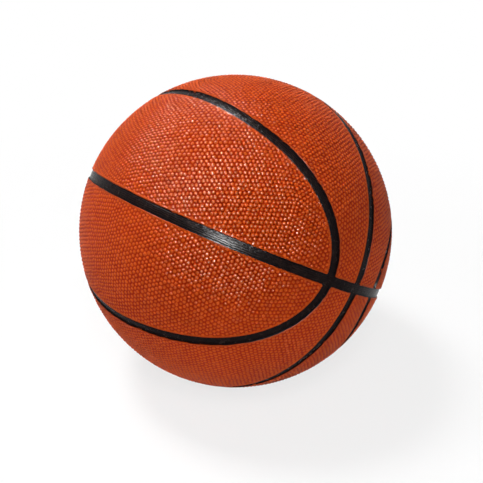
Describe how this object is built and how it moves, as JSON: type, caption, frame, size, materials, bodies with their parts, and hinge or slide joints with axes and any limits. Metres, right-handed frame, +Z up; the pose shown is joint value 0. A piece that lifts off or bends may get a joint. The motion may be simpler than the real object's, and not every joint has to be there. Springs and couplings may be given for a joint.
{
  "type": "basketball",
  "caption": "Moulded rubber basketball: pebbled cover panels with recessed channels between them, over a wound carcass and an air bladder with a needle valve.",
  "frame": {"origin": "centre of the ball", "axes": "+Y out through the valve, +X through the point where the main and the cross channel meet, +Z up"},
  "size_m": [0.2418, 0.2419, 0.242],
  "materials": {
    "cover_rubber": "satin",
    "channel_rubber": "satin",
    "carcass_rubber": "matte",
    "nylon_thread": "satin",
    "butyl_rubber": "satin",
    "valve_rubber": "matte",
    "plug_rubber": "matte"
  },
  "bodies": {
    "root": {"front_upper_oval_panel": "cover_rubber", "front_lower_oval_panel": "cover_rubber", "back_upper_oval_panel": "cover_rubber", "back_lower_oval_panel": "cover_rubber", "front_upper_long_panel": "cover_rubber", "front_lower_long_panel": "cover_rubber", "back_upper_long_panel": "cover_rubber", "back_lower_long_panel": "cover_rubber", "main_channel_strip": "channel_rubber", "upper_cross_strip": "channel_rubber", "lower_cross_strip": "channel_rubber", "front_upper_loop_strip": "channel_rubber", "front_lower_loop_strip": "channel_rubber", "back_upper_loop_strip": "channel_rubber", "back_lower_loop_strip": "channel_rubber", "carcass": "carcass_rubber", "thread_winding": "nylon_thread", "bladder": "butyl_rubber", "valve_patch": "butyl_rubber", "valve_housing": "valve_rubber", "valve_plug": "plug_rubber"}
  },
  "joints": []
}
